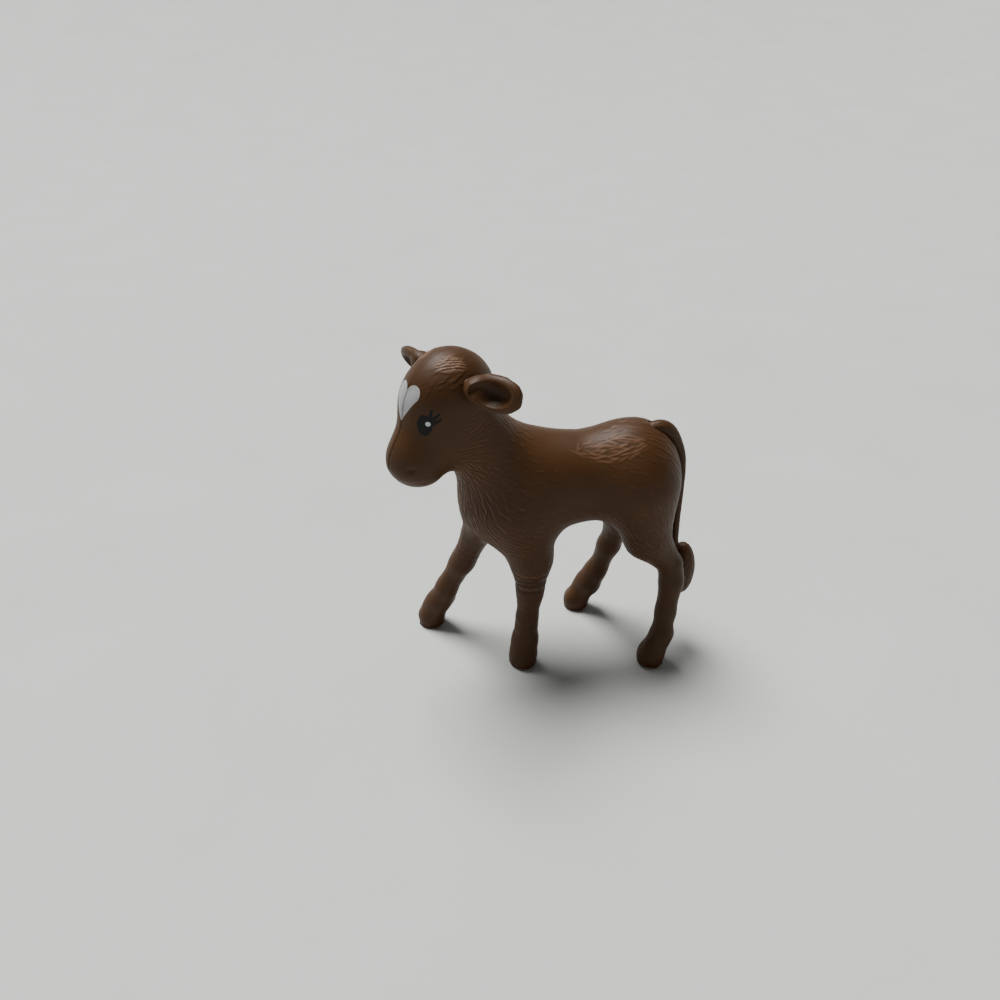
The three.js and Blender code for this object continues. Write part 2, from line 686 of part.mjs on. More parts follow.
// The tuft is a drop: round and full above, drawn in below.
function tuftSolid() {
  const profile = [];
  for (let i = 0; i <= TUFT_RINGS; i++) {
    const angle = (Math.PI * i) / TUFT_RINGS;
    const fullness = 1 - TUFT_FULLNESS * Math.cos(angle);
    const radius = TUFT_RADIUS * Math.sin(angle) * fullness;
    profile.push(new THREE.Vector2(Math.max(radius, 0), (-TUFT_LENGTH / 2) * Math.cos(angle)));
  }
  const drop = new THREE.LatheGeometry(profile, ROUND_SIDES).rotateX(Math.PI / 2);
  const place = tuftPlace();
  return solid(drop.rotateY(TUFT_LEAN).translate(place.x, place.y, place.z));
}

function tail(extra) {
  const { end, inward } = tailPeg();
  const half = TAIL_COLLAR_THICKNESS / 2 + extra;
  const front = end.clone().addScaledVector(inward, extra);
  const back = end.clone().addScaledVector(inward, extra - 2 * half);
  return tailTube(extra).add(rod(front, back, TAIL_COLLAR_RADIUS + extra));
}

// Body: a skin with a hollow core, bosses where something plugs in, then the two halves.
function floorBlock() {
  const size = body.box.getSize(v()).multiplyScalar(2);
  return solid(new THREE.BoxGeometry(size.x, size.y, size.z).translate(0, 0, size.z / 2));
}

function bodySolid() {
  const trunkLow = BELLY_HEIGHT - BELLY_RADIUS;
  const stepX = (x) => (x < HEAD_PIVOT_X ? HEAD_CELL : LEG_CELL);
  const stepZ = (z) => (z > THROAT_HEIGHT ? HEAD_CELL : z < trunkLow ? LEG_CELL : TRUNK_CELL);
  return solid(skin(body, stepX, () => LEG_CELL, stepZ)).intersect(floorBlock());
}

function locatingPins() {
  const skull = onHead(0, 0, -SKULL_PIN_DROP);
  const places = [CHEST_PIN, BELLY_PIN, RUMP_PIN, [skull.x, skull.z]];
  return places.map(([x, z]) => v(x, partingY(x, z), z));
}

function wholeBody() {
  const outside = bodySolid();
  const inside = form((p) => core(p) + WALL, core.box);
  const pinBoss = PIN_RADIUS + SEAT_CLEARANCE + BOSS_WALL;
  const reach = v(0, body.box.max.y * 2, 0);
  const earBore = EAR_PEG_RADIUS + SEAT_CLEARANCE;
  const peg = tailPeg();
  const pegDepth = peg.end.clone().addScaledVector(peg.inward, SEAT_CLEARANCE + SOCKET_FLOOR);
  const bosses = [
    ...locatingPins().map((p) => rod(p.clone().sub(reach), p.clone().add(reach), pinBoss)),
    ...[LEFT, RIGHT].map((side) => {
      const boss = earRod(side, earBore + BOSS_WALL, SEAT_CLEARANCE + SOCKET_FLOOR);
      return boss.intersect(partingBlock(side));
    }),
    rod(peg.root, pegDepth, TAIL_COLLAR_RADIUS + SEAT_CLEARANCE + BOSS_WALL),
  ];
  let whole = outside.subtract(solid(skin(inside, () => CAVITY_CELL)));
  for (const boss of bosses) whole = whole.add(boss.intersect(outside));
  for (const side of [LEFT, RIGHT]) whole = whole.subtract(earRod(side, earBore, SEAT_CLEARANCE));
  return whole.subtract(tail(SEAT_CLEARANCE));
}

const whole = wholeBody();

function leftShell() {
  const pins = locatingPins().map((p) => {
    const tip = p.clone().add(v(0, PIN_LENGTH, 0));
    return rod(p.clone().add(v(0, -PIN_LENGTH, 0)), tip, PIN_RADIUS);
  });
  return pins.reduce((shell, pin) => shell.add(pin), whole.intersect(partingBlock(LEFT)));
}

function rightShell() {
  const depth = PIN_LENGTH + SEAT_CLEARANCE;
  const bores = locatingPins().map((p) => {
    const bottom = p.clone().add(v(0, depth, 0));
    return rod(p.clone().add(v(0, -depth, 0)), bottom, PIN_RADIUS + SEAT_CLEARANCE);
  });
  return bores.reduce((shell, bore) => shell.subtract(bore), whole.intersect(partingBlock(RIGHT)));
}

// The figure: every piece is the same brown moulded plastic. It stands on the middle of its base.
const pieces = {
  left_shell: leftShell(),
  right_shell: rightShell(),
  left_ear: ear(LEFT),
  right_ear: ear(RIGHT),
  tail: tail(0).add(tuftSolid()),
};

const calf = new THREE.Group();
for (const [name, made] of Object.entries(pieces)) {
  const finish = new THREE.MeshStandardMaterial({ color: CALF_BROWN, ...PLASTIC });
  const mesh = new THREE.Mesh(geometryOf(made), finish);
  mesh.name = name;
  calf.add(mesh);
}
const extent = new THREE.Box3().setFromObject(calf);
const middle = extent.getCenter(v());
calf.position.set(-middle.x, -middle.y, -extent.min.z);

export default calf;
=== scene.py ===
import math

import bpy
import numpy as np
from mathutils import Matrix, Vector
from mathutils.kdtree import KDTree


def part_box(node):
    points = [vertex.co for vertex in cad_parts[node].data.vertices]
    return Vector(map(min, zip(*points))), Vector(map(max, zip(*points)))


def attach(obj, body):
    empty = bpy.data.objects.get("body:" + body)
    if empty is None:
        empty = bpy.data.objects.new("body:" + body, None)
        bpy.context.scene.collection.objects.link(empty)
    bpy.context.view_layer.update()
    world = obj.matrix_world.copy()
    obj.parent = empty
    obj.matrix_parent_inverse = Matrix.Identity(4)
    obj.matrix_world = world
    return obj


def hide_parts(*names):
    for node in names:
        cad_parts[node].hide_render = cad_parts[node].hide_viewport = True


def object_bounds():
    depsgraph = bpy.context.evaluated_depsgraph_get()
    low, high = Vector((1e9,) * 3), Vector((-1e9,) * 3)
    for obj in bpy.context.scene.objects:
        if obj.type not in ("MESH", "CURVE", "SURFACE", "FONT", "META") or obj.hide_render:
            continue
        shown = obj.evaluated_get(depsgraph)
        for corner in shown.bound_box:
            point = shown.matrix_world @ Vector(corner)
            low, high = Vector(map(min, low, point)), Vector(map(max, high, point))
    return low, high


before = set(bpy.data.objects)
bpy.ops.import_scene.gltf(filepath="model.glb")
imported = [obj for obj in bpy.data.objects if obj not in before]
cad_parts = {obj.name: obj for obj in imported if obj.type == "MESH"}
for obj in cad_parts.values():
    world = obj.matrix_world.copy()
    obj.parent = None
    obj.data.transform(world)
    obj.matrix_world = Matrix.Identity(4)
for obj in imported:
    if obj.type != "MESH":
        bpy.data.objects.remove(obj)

cad_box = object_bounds()

# The view: a small camera close above the table, to the calf's left and a little ahead of it.
# Its place is counted from the upright line on which the head turns. Lengths are in millimetres.
MM = 0.001
NECK_LINE = np.array([-13.776, 1.819, 0.0])
CAMERA_FROM_NECK = np.array([-12.9, -127.1, 120.0])
CAMERA_DOWN = 32.5
CAMERA_ASIDE = 7.2

LENS = 27
FILM_WIDTH = 36
NEAREST_SEEN = 0.01

lens = bpy.data.cameras.new("view")
lens.lens = LENS
lens.sensor_width = FILM_WIDTH
lens.clip_start = NEAREST_SEEN
camera = bpy.data.objects.new("view", lens)
bpy.context.collection.objects.link(camera)
camera.location = Vector((NECK_LINE + CAMERA_FROM_NECK) * MM)
camera.rotation_euler = [math.radians(a) for a in (90 - CAMERA_DOWN, 0, -CAMERA_ASIDE)]
bpy.context.scene.camera = camera


# The body: two hollow mouldings of soft brown PVC, glued along a line that shows on the face
# only. Hair, folds, nostrils and mouth are cut in the mould; heart, eyes and lashes are printed.
SKIN_VOXEL = 0.235
CLOSING = 0.16
BODY_SMOOTHING = 46
SOLE_KEPT = (0.3, 2.0)
JOINED_WITHIN = 0.001


def only(obj):
    bpy.ops.object.select_all(action="DESELECT")
    obj.select_set(True)
    bpy.context.view_layer.objects.active = obj


# A copy of a solid in millimetres, with its loose triangles joined.
def merged_copy(node, name, shift=(0, 0, 0)):
    obj = bpy.data.objects.new(name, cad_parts[node].data.copy())
    obj.data.name = name
    obj.data.materials.clear()
    bpy.context.collection.objects.link(obj)
    obj.data.transform(Matrix.Translation(shift) @ Matrix.Scale(1 / MM, 4))
    only(obj)
    bpy.ops.object.mode_set(mode="EDIT")
    bpy.ops.mesh.select_all(action="SELECT")
    bpy.ops.mesh.remove_doubles(threshold=JOINED_WITHIN)
    bpy.ops.object.mode_set(mode="OBJECT")
    return obj


# One closed outer skin of even small faces. What is sealed inside is dropped.
def outer_skin(obj, voxel):
    only(obj)
    obj.data.remesh_voxel_size = voxel
    obj.data.remesh_voxel_adaptivity = 0
    obj.data.use_remesh_fix_poles = False
    bpy.ops.object.voxel_remesh()
    bpy.ops.object.mode_set(mode="EDIT")
    bpy.ops.mesh.select_all(action="SELECT")
    bpy.ops.mesh.separate(type="LOOSE")
    bpy.ops.object.mode_set(mode="OBJECT")
    loose = sorted(bpy.context.selected_objects, key=lambda o: len(o.data.vertices))
    skin = loose.pop()
    for other in loose:
        bpy.data.objects.remove(other)
    return skin


def places(obj):
    flat = np.empty(3 * len(obj.data.vertices))
    obj.data.vertices.foreach_get("co", flat)
    return flat.reshape(-1, 3)


def move_to(obj, points):
    obj.data.vertices.foreach_set("co", points.ravel())
    obj.data.update()


def normals(obj):
    flat = np.empty(3 * len(obj.data.vertices), np.float32)
    obj.data.vertex_normals.foreach_get("vector", flat)
    return flat.reshape(-1, 3).astype(float)


def ramp(value, low, high):
    t = np.clip((value - low) / (high - low), 0, 1)
    return t * t * (3 - 2 * t)


# Averages each point with its neighbours, then gives back what the averaging took in size.
def smooth_skin(obj, rounds):
    pairs = np.empty(2 * len(obj.data.edges), int)
    obj.data.edges.foreach_get("vertices", pairs)
    a, b = pairs.reshape(-1, 2).T
    start = places(obj)
    count = np.bincount(a, minlength=len(start)) + np.bincount(b, minlength=len(start))

    def averaged(values):
        for _ in range(rounds):
            mean = np.empty_like(values)
            for i in range(3):
                mean[:, i] = np.bincount(a, values[b, i], len(start))
                mean[:, i] += np.bincount(b, values[a, i], len(start))
            values = (values + mean / count[:, None]) / 2
        return values

    soft = averaged(start)
    return start, soft + averaged(start - soft)


# The head's own directions: level, but turned thirty degrees to the calf's left.
HEAD_TURN = math.radians(30)
SKULL_REACH = 7.3
SKULL_HEIGHT = 63.9
AHEAD = np.array([-math.cos(HEAD_TURN), -math.sin(HEAD_TURN), 0])
LEFT = np.array([math.sin(HEAD_TURN), -math.cos(HEAD_TURN), 0])
UP = np.array([0, 0, 1.0])
SKULL = NECK_LINE + SKULL_REACH * AHEAD + SKULL_HEIGHT * UP


def on_head(p):
    q = p - SKULL
    return np.stack([q @ AHEAD, q @ LEFT, q @ UP], 1)


# The ears' sockets are filled flush, because the ears sit tight on the skull.
EAR_PLUG = (0.15, 2.4, 1.8)
EAR_PLUG_RADIUS = 4.95

# The hooves stand on broad flat soles, so their round feet are spread near the table.
HOOVES = [(-6.3, -5.3), (21.6, -8.8), (-25.7, 10.8), (9.2, 12.5)]
HOOF_TURN = 2.3
HOOF_BALL = 2.9
HOOF_SPREAD = 0.6
HOOF_REACH = 5

# Small swellings and hollows of the fetlocks and hooves: the place, the reach and the height. They
# draw each hoof's front into one line with the pastern, and set the fetlock off at the back.
SWELLINGS = [
    (10.2, 10.6, 9.3, 3.4, 0.55),
    (13.5, 8.5, 11.0, 2.2, 0.35),
    (-21.6, 7.3, 9.6, 2.4, 0.5),
    (-26.6, 11.0, 5.7, 1.8, 0.4),
    (-28.4, 11.0, 4.0, 1.5, -0.3),
    (-21.0, 9.3, 7.9, 1.6, 0.5),
    (-16.8, 7.2, 16.7, 2.2, -0.35),
    (11.0, 12.0, 11.6, 2.5, 0.45),
    (9.6, 12.6, 8.1, 2.2, 0.5),
    (9.2, 13.0, 6.0, 1.6, 0.45),
    (7.2, 13.0, 4.2, 1.4, -0.35),
    (20.3, -9.2, 5.8, 1.7, 0.4),
    (19.0, -9.2, 4.0, 1.4, -0.25),
    (-8.9, -5.6, 5.8, 1.7, 0.25),
]

left_copy = merged_copy("left_shell", "calf_skin", (0, CLOSING, 0))
right_copy = merged_copy("right_shell", "right_copy", (0, -CLOSING, 0))
plugs = []
for side in (-1, 1):
    middle = SKULL + EAR_PLUG[0] * AHEAD + side * EAR_PLUG[1] * LEFT + EAR_PLUG[2] * UP
    bpy.ops.mesh.primitive_ico_sphere_add(subdivisions=4, radius=EAR_PLUG_RADIUS, location=middle)
    bpy.ops.object.transform_apply()
    plugs.append(bpy.context.object)
only(left_copy)
for other in (right_copy, *plugs):
    other.select_set(True)
bpy.ops.object.join()
skin = outer_skin(left_copy, SKIN_VOXEL)
hard, soft = smooth_skin(skin, BODY_SMOOTHING)
kept = ramp(hard[:, 2:], *SOLE_KEPT)
soft = hard * (1 - kept) + soft * kept
low_down = np.clip(HOOF_TURN - soft[:, 2], 0, None)
spread = 1 + HOOF_SPREAD * (1 / np.sqrt(1 - (low_down / HOOF_BALL) ** 2) - 1)
for x, y in HOOVES:
    aside = soft[:, :2] - (x, y)
    near = np.hypot(*aside.T) < HOOF_REACH
    soft[near, :2] += aside[near] * (spread[near, None] - 1)
move_to(skin, soft)
for x, y, z, reach, height in SWELLINGS:
    near = np.exp(-((soft - (x, y, z)) ** 2).sum(1) / reach**2)
    soft = soft + height * near[:, None] * normals(skin)
move_to(skin, soft)

# The glue line's surface: upright along the trunk, turned with the head above the throat.
PARTING_BEND = 4
THROAT = (47.5, 53.5)


def parting_y(x, z):
    ahead = NECK_LINE[0] - x
    reach = (ahead + np.hypot(ahead, PARTING_BEND)) / 2
    return NECK_LINE[1] - math.tan(HEAD_TURN) * reach * ramp(z, *THROAT)


# Which way the hair lies. Each row: the place along, out from the middle and up; the lie in
# degrees above the horizontal; how deep the strokes are; how far apart; and how long.
BODY_HAIR = [
    (-19.6, 3, 49.0, -45, 0.13, 0.6, 4.5),
    (-17.5, 7, 49.3, -38, 0.12, 0.62, 3.6),
    (-17.6, 6, 45.6, -52, 0.14, 0.6, 6.0),
    (-18.6, 2, 42.0, -86, 0.14, 0.6, 6.5),
    (-15.6, 8, 41.5, -58, 0.13, 0.64, 6.0),
    (-16.5, 3, 36.0, -72, 0.13, 0.62, 5.5),
    (-12.2, 10, 43.5, -52, 0.11, 0.9, 4.2),
    (-12.5, 8, 35.5, -28, 0.08, 0.8, 2.8),
    (-10.0, 10, 34.5, -24, 0.08, 0.8, 2.6),
    (-12.5, 5, 30.5, -32, 0.06, 0.8, 2.8),
    (-8.0, 11, 43.0, -28, 0.07, 1.6, 2.4),
    (-8.5, 9, 47.5, -20, 0.06, 2.2, 2.0),
    (-12.5, 8, 47.5, -30, 0.06, 1.7, 2.0),
    (-7.2, 7, 52.4, -28, 0.07, 1.9, 2.0),
    (-7.8, 4, 56.0, -40, 0.07, 0.9, 2.6),
    (-3.7, 9.5, 46.5, -18, 0.06, 2.2, 1.9),
    (-3.0, 11, 42.5, -25, 0.05, 2.3, 1.8),
    (-5.0, 11, 37.0, -40, 0.07, 1.2, 2.3),
    (0.0, 3, 53.0, -5, 0, 2.0, 2.0),
    (3.0, 10, 41.0, -12, 0.04, 2.4, 1.8),
    (2.0, 5, 34.0, 0, 0.015, 2.3, 2.0),
    (4.0, 8, 48.0, -20, 0.02, 2.3, 2.0),
    (11.0, 8.5, 48.5, -20, 0.07, 1.5, 2.0),
    (16.0, 8.5, 48.0, -35, 0.06, 1.6, 2.0),
    (10.0, 11, 44.0, -22, 0.025, 2.1, 1.9),
    (21.0, 4.2, 51.5, -48, 0.08, 0.95, 5.5),
    (23.0, 4.4, 48.5, -58, 0.08, 0.95, 6.0),
    (24.5, 3, 43.0, -75, 0.07, 0.95, 5.5),
    (20.0, 8, 46.0, -55, 0.05, 1.7, 2.6),
    (20.5, 9, 40.0, -60, 0.06, 1.3, 3.0),
    (14.0, 9, 40.0, -38, 0.04, 1.6, 2.2),
    (12.0, 8, 35.0, -54, 0.08, 0.85, 2.8),
    (17.0, 11, 38.5, -40, 0.075, 0.95, 2.8),
    (20.5, 10, 34.5, -46, 0.08, 0.85, 2.8),
    (18.0, 10, 30.0, -30, 0.08, 0.85, 2.6),
    (22.5, 8, 25.0, -60, 0.04, 1.1, 2.3),
    (24.5, 8, 15.0, -82, 0.02, 1.63, 2),
    (22.5, 9, 6.0, -70, 0.012, 1.77, 2),
    (15.5, 11, 22.0, -105, 0.02, 1.5, 2.3),
    (12.0, 11, 8.0, -110, 0.012, 1.77, 2),
    (-5.0, 8, 26.0, -60, 0.045, 1.0, 2.4),
    (-5.0, 8, 15.0, -88, 0.015, 1.77, 1.8),
    (-6.0, 8, 5.0, -88, 0.01, 1.77, 1.6),
    (-14.0, 7, 27.0, -115, 0.045, 1.0, 2.4),
    (-20.0, 9, 14.0, -112, 0.015, 1.77, 2),
    (-25.0, 10, 5.0, -115, 0.01, 1.77, 1.6),
]
HEAD_HAIR = [
    (9.0, 0, 3.0, 150, 0, 2.0, 2.5),
    (10.0, 3, -5.0, 150, 0, 2.0, 2.5),
    (11.0, 2, -11.0, 150, 0, 2.0, 2.5),
    (7.0, 4.5, -1.0, 160, 0, 2.0, 2.5),
    (7.5, 4.5, -6.5, 160, 0, 2.0, 2.5),
    (7.0, 0, -15.5, 180, 0, 2.0, 2.5),
    (7.5, 2, 5.2, 165, 0, 2.0, 2),
    (5.6, 4.4, 4.7, 160, 0.12, 0.55, 1.9),
    (2.6, 6.0, 4.8, 165, 0.12, 0.55, 1.9),
    (4.4, 3.6, 6.2, 165, 0, 2.0, 2),
    (5.0, 6.0, 2.6, 165, 0, 2.0, 2),
    (4.5, 0, 7.5, 180, 0, 2.0, 2),
    (1.8, 3.2, 7.6, 180, 0, 2.0, 2),
    (-3.5, 3, 8.0, 180, 0.015, 1.8, 2.1),
    (-6.5, 2, 4.0, -140, 0.02, 1.8, 2.1),
    (3.5, 6.8, 0.5, 160, 0, 2.0, 2.1),
    (4.2, 6.6, -4.5, 155, 0, 2.0, 2),
    (1.4, 7.2, -6.0, 156, 0.1, 0.7, 3.0),
    (-1.5, 7.5, -5.0, 172, 0.1, 0.7, 3.0),
    (0.0, 7.0, -8.5, 165, 0.1, 0.7, 3.2),
    (4.5, 6.0, -9.5, 160, 0, 2.0, 2),
    (-4.5, 7.0, -8.0, -160, 0.04, 1.3, 2.2),
    (0.3, 4.9, -13.5, -142, 0.12, 0.6, 3.2),
    (5.5, 4.0, -13.0, 150, 0, 2.0, 2),
    (-7.0, 5, -3.0, -125, 0.035, 1.2, 2.1),
]
HAIR_REACH = 2.3
STROKE_HALF_WIDTH = 0.19
STROKE_MOST = 0.15
BODY_SEED = 7
HAIR_TRIES = 60000
HAIR_LEAST = 0.012
HAIR_STRAY = 0.2
LIE_LEAST = 0.15
LENGTH_SPREAD = (0.7, 1.25)
WIDTH_SPREAD = (0.8, 1.25)
DEPTH_SPREAD = (0.65, 1.15)
BEND_SPREAD = 0.02
END_SHARE = 0.62
SEARCH_ASIDE = 0.8
SAME_SIDE = 0.2
LIP_PLACE = 1.7
LIP_SHARE = 0.75
CREST_SHARE = 0.8


def hair_of(coordinates, table, along):
    rows = np.array(table)
    away = ((coordinates[:, None, :] - rows[None, :, :3]) ** 2).sum(2) / HAIR_REACH**2
    weight = np.exp(-(away - away.min(1, keepdims=True)))
    weight /= weight.sum(1, keepdims=True)
    angle = np.radians(rows[:, 3])
    lie = np.outer(weight @ np.cos(angle), along) + np.outer(weight @ np.sin(angle), UP)
    return np.hstack([lie, weight @ rows[:, 4:]])


# Oval whorls of raised hair, one beside the crown and one beside the loin. Each row: the place
# along, out and up; half the length and the width; how deep, how far apart and how long. The
# larger a whorl's core, the straighter its hairs lie.
BODY_WHORL = (10.4, 5.0, 51.5, 7.8, 3.0, -0.08, 0.5, 2.8)
HEAD_WHORL = (2.0, 3.3, 7.3, 2.7, 1.9, -0.09, 0.5, 3.0)
BODY_CORE = 0.35
HEAD_CORE = 1.1
WHORL_FADE = (0.85, 1.1)
HEAD_BEHIND = (-9, -5)
HEAD_ABOVE = (48.5, 51.5)
CHIN_AHEAD = (2.6, 4.6)
ALONG = np.array([1.0, 0, 0])


def whorled(coordinates, hair, outward_up, whorl, core, along):
    away = coordinates - np.array(whorl[:3])
    a = away[:, 0] / whorl[3]
    b = np.hypot(away[:, 1], away[:, 2]) * np.sign(away[:, 2] - away[:, 1]) / whorl[4]
    slope = np.sqrt(np.clip(1 - outward_up**2, 0.04, 1))
    level = np.sign(b) * (np.abs(b) + core)
    lie = np.outer(-level / whorl[4], along) + np.outer(a / whorl[3] / slope, UP)
    lie /= np.linalg.norm(lie, axis=1, keepdims=True) + 1e-9
    here = 1 - ramp(np.hypot(a, b), *WHORL_FADE)
    row = np.hstack([lie, np.tile(whorl[5:], (len(a), 1))])
    return hair + (row - hair) * here[:, None]


def hair_at(p, outward_up):
    from_neck = p - NECK_LINE
    body_place = np.stack([p[:, 0], np.abs(from_neck[:, 1]), p[:, 2]], 1)
    head_place = on_head(p)
    # The head's hair takes over ahead of the poll, where it is above the throat or on the chin.
    high_or_chin = np.maximum(ramp(p[:, 2], *HEAD_ABOVE), ramp(head_place[:, 0], *CHIN_AHEAD))
    is_head = ramp(head_place[:, 0], *HEAD_BEHIND) * high_or_chin
    head_place[:, 1] = np.abs(head_place[:, 1])
    body = hair_of(body_place, BODY_HAIR, ALONG)
    body = whorled(body_place, body, outward_up, BODY_WHORL, BODY_CORE, ALONG)
    head = hair_of(head_place, HEAD_HAIR, AHEAD)
    head = whorled(head_place, head, outward_up, HEAD_WHORL, HEAD_CORE, AHEAD)
    return body + (head - body) * is_head[:, None]


# Strokes are small pointed grooves with a raised lip on their upper side. Where the depth is
# negative they are raised hairs instead. They are set in turn where no other is too near.
def comb(points, outward, hair, seed, tries):
    chance = np.random.default_rng(seed)
    tree = KDTree(len(points))
    for i, p in enumerate(points):
        tree.insert(p, i)
    tree.balance()
    relief = np.zeros(len(points))
    taken = np.full((tries, 3), 1e6)
    count = 0
    for i in chance.integers(0, len(points), tries):
        depth, apart, length = hair[i, 3:]
        n = outward[i]
        lie = hair[i, :3] - n * (n @ hair[i, :3])
        size = np.linalg.norm(lie)
        if abs(depth) < HAIR_LEAST or size < LIE_LEAST:
            continue
        turn = chance.normal(0, HAIR_STRAY)
        lie = (lie * math.cos(turn) + np.cross(n, lie) * math.sin(turn)) / size
        across = np.cross(n, lie)
        across *= 1 if across[2] > 0 else -1
        length *= chance.uniform(*LENGTH_SPREAD)
        gap = taken[:count] - points[i]
        parted = (gap @ lie / (END_SHARE * length)) ** 2 + (gap @ across / apart) ** 2
        parted += (gap @ n) ** 2
        if count and parted.min() < 1:
            continue
        taken[count] = points[i]
        count += 1
        width = STROKE_HALF_WIDTH * chance.uniform(*WIDTH_SPREAD)
        bend = chance.normal(0, BEND_SPREAD)
        near = [k for _, k, _ in tree.find_range(points[i], length / 2 + SEARCH_ASIDE)]
        q = points[near] - points[i]
        u = q @ lie
        v = q @ across - bend * u * u
        body = np.clip(1 - (2 * u / length) ** 2, 0, 1) * (outward[near] @ n > SAME_SIDE)
        groove = -np.exp(-((v / width) ** 2))
        lip = LIP_SHARE * np.exp(-((v / width - LIP_PLACE) ** 2)) * (depth > 0)
        relief[near] += depth * chance.uniform(*DEPTH_SPREAD) * body * (groove + lip)
    return np.clip(relief, -STROKE_MOST, STROKE_MOST * CREST_SHARE)


# Folds wrap the knees. Each row: the place on the leg, the leg's lean, and the depth.
FOLDS = [
    (-4.8, 24.4, 0, 0.11),
    (-4.8, 23.2, 3, 0.13),
    (-4.8, 22.0, -2, 0.13),
    (-4.8, 20.6, 2, 0.11),
    (-5.0, 18.4, -3, 0.035),
    (-5.2, 14.8, 3, 0.04),
    (-5.6, 11.4, -2, 0.04),
    (-5.9, 8.8, 2, 0.03),
    (-17.2, 23.0, 24, 0.03),
    (-17.9, 21.4, 20, 0.03),
    (-18.5, 19.8, 25, 0.02),
    (-22.4, 11.6, 22, 0.02),
]
FOLD_REACH = 4.2
FOLD_HALF_WIDTH = 0.34
FOLD_LIP_UP = 0.75
FOLD_LIP_SHARE = 0.6
LONG_WAVE = (0.22, 1.3)
SHORT_WAVE = (0.1, 2.7)


def fold_relief(p):
    total = np.zeros(len(p))
    for x, z, lean, depth in FOLDS:
        on_right = ramp(p[:, 1] - NECK_LINE[1], -0.5, 0.5)
        side = on_right if x < NECK_LINE[0] else 1 - on_right
        slope = math.radians(lean)
        dx, dz = p[:, 0] - x, p[:, 2] - z
        wave = LONG_WAVE[0] * np.sin(LONG_WAVE[1] * p[:, 1] + 2 * z)
        wave += SHORT_WAVE[0] * np.sin(SHORT_WAVE[1] * dx + z)
        along = dx * math.sin(slope) + dz * math.cos(slope) + wave
        inside = 1 - ramp(np.hypot(dx, dz), FOLD_REACH - 1, FOLD_REACH)
        groove = -np.exp(-((along / FOLD_HALF_WIDTH) ** 2))
        lip = FOLD_LIP_SHARE * np.exp(-(((along - FOLD_LIP_UP) / FOLD_HALF_WIDTH) ** 2))
        total += depth * side * inside * (groove + lip)
    return total


# The face, in the head's own directions: nostrils, the mouth's line round the muzzle, which turns
# up at its corners, and the glue line's groove, which fades on the crown and under the chin.
NOSTRIL = np.array([11.0, 3.6, -10.2])
NOSTRIL_HALF = np.array([0.9, 0.85, 0.6])
NOSTRIL_DEPTH = 0.42
MOUTH_UP = -13.4
MOUTH_CORNER = 9
MOUTH_TURN = 0.05
MOUTH_HALF_WIDTH = 0.3
MOUTH_DEPTH = 0.06
MOUTH_FADE = (6.8, 8.2)
SEAM_DEPTH = 0.1
SEAM_HALF_WIDTH = 0.18
SEAM_TOP_FADE = (2.5, 6.5)
SEAM_FRONT_FADE = (4, 7)
SEAM_CHIN_FADE = (49, 51)


def face_relief(head):
    ahead, out, up = head[:, 0], np.abs(head[:, 1]), head[:, 2]
    q = (np.stack([ahead, out, up], 1) - NOSTRIL) / NOSTRIL_HALF
    nostril = np.exp(-(q**2).sum(1))
    line = up - MOUTH_UP - MOUTH_TURN * (ahead - MOUTH_CORNER) ** 2 * (ahead < MOUTH_CORNER)
    mouth = np.exp(-((line / MOUTH_HALF_WIDTH) ** 2)) * ramp(ahead, *MOUTH_FADE)
    return -NOSTRIL_DEPTH * nostril - MOUTH_DEPTH * mouth


# One on the glue line of the face, falling to none aside of it and where it fades.
def seam_strength(p, head, half_width):
    aside = np.abs(p[:, 1] - parting_y(p[:, 0], p[:, 2])) * math.cos(HEAD_TURN)
    shown = (1 - ramp(head[:, 2], *SEAM_TOP_FADE)) * ramp(head[:, 0], *SEAM_FRONT_FADE)
    return shown * ramp(p[:, 2], *SEAM_CHIN_FADE) * np.exp(-((aside / half_width) ** 2))


points = places(skin)
outward = normals(skin)
head = on_head(points)
relief = comb(points, outward, hair_at(points, outward[:, 2]), BODY_SEED, HAIR_TRIES)
relief += fold_relief(points)
shaped = relief + face_relief(head)
shaped -= SEAM_DEPTH * seam_strength(points, head, SEAM_HALF_WIDTH)

# The skin stays just inside the solids' box, with its soles on the table.
BOX_MARGIN = 0.0005
low, high = [np.array(c) / MM for c in cad_box]
low[2] -= BOX_MARGIN
move_to(skin, np.clip(points + outward * shaped[:, None], low + BOX_MARGIN, high - BOX_MARGIN))


# Cuts the skin along the glue line. Each half is closed at the cut, and its inside never shows.
CUT_STEPS = (44, 40)
CUT_HALF = 45
CUT_MIDDLE_UP = 37
CUT_REACH = 60
SEAM_TINT_HALF_WIDTH = 0.13


